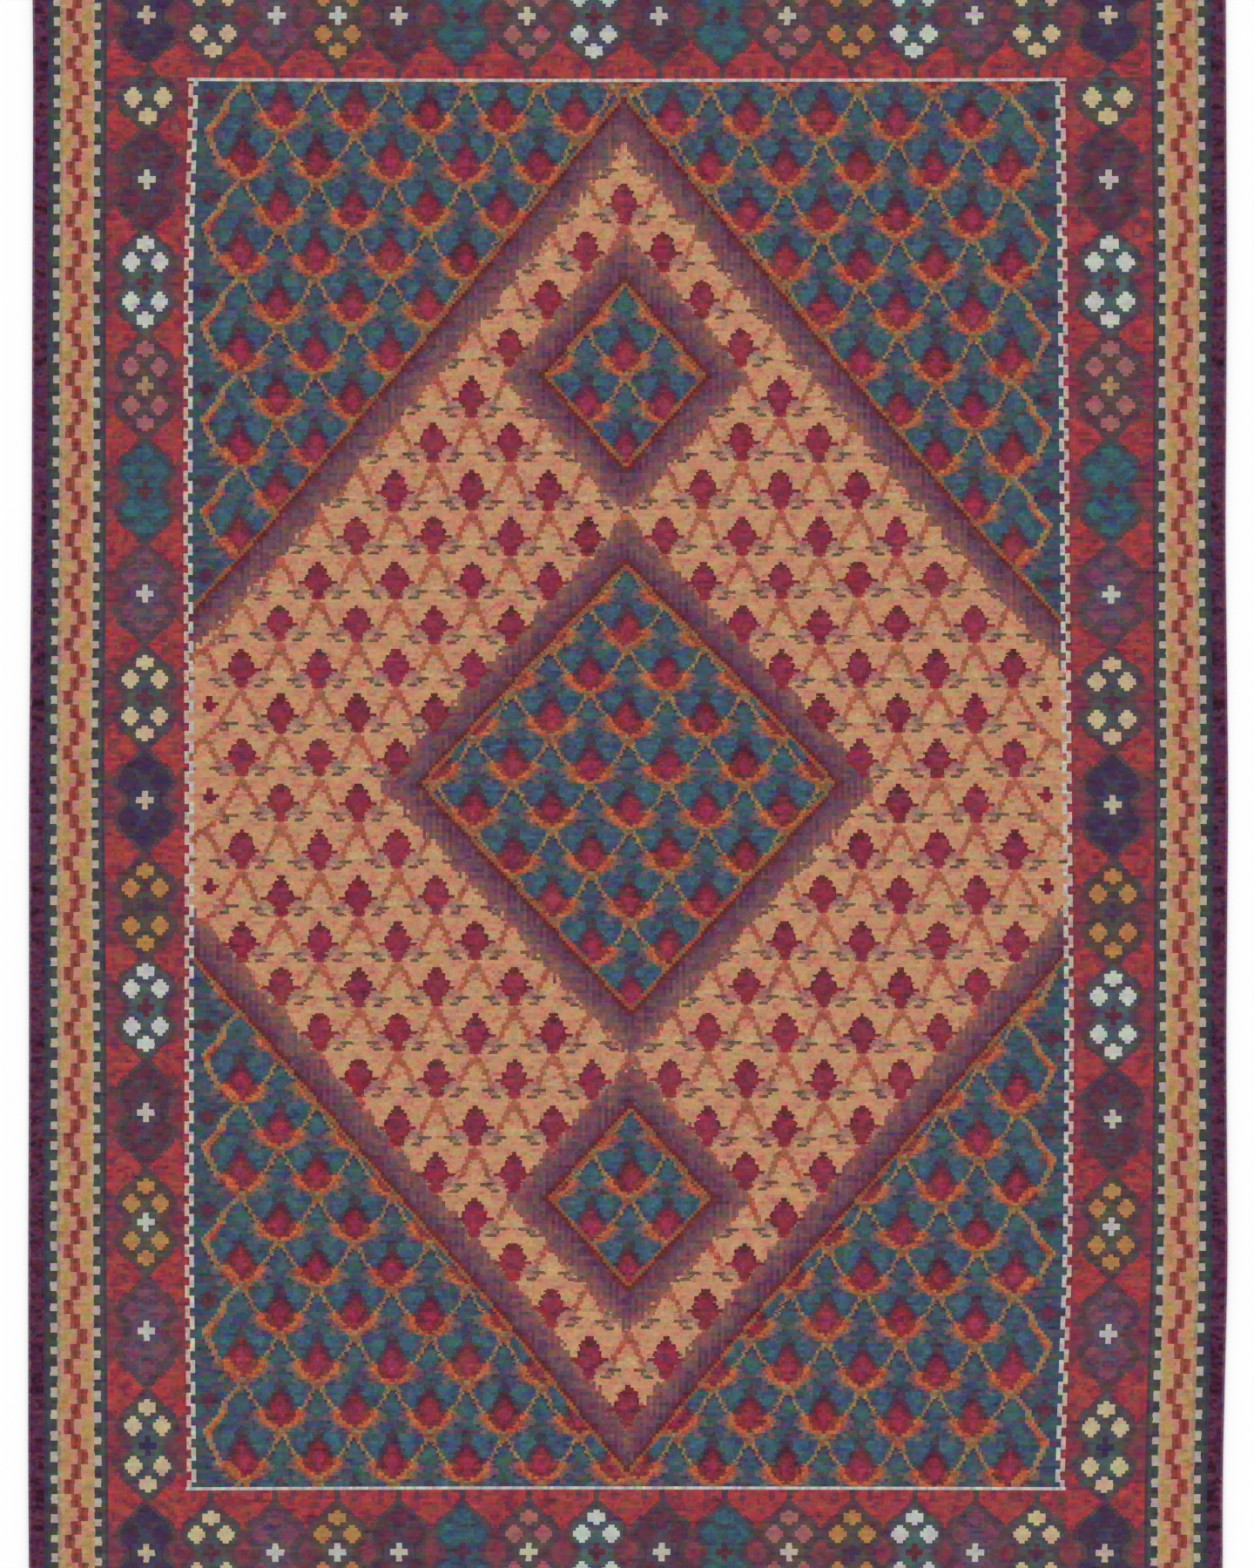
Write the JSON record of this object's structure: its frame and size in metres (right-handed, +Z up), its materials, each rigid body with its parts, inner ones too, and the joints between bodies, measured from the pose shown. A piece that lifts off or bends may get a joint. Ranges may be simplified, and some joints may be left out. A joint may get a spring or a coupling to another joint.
{
  "type": "kilim rug",
  "caption": "Flat tapestry-woven kilim rug with a lattice of small florets, stepped lozenges in cream and blue, and a diamond border between zigzag guard stripes.",
  "frame": {"origin": "middle of the flat underside, on the floor", "axes": "+X across the width, +Y along the length, +Z up out of the face"},
  "size_m": [1.256, 1.9, 0.0035],
  "materials": {
    "wool": "matte"
  },
  "bodies": {
    "root": {"kilim": "wool"}
  },
  "joints": []
}
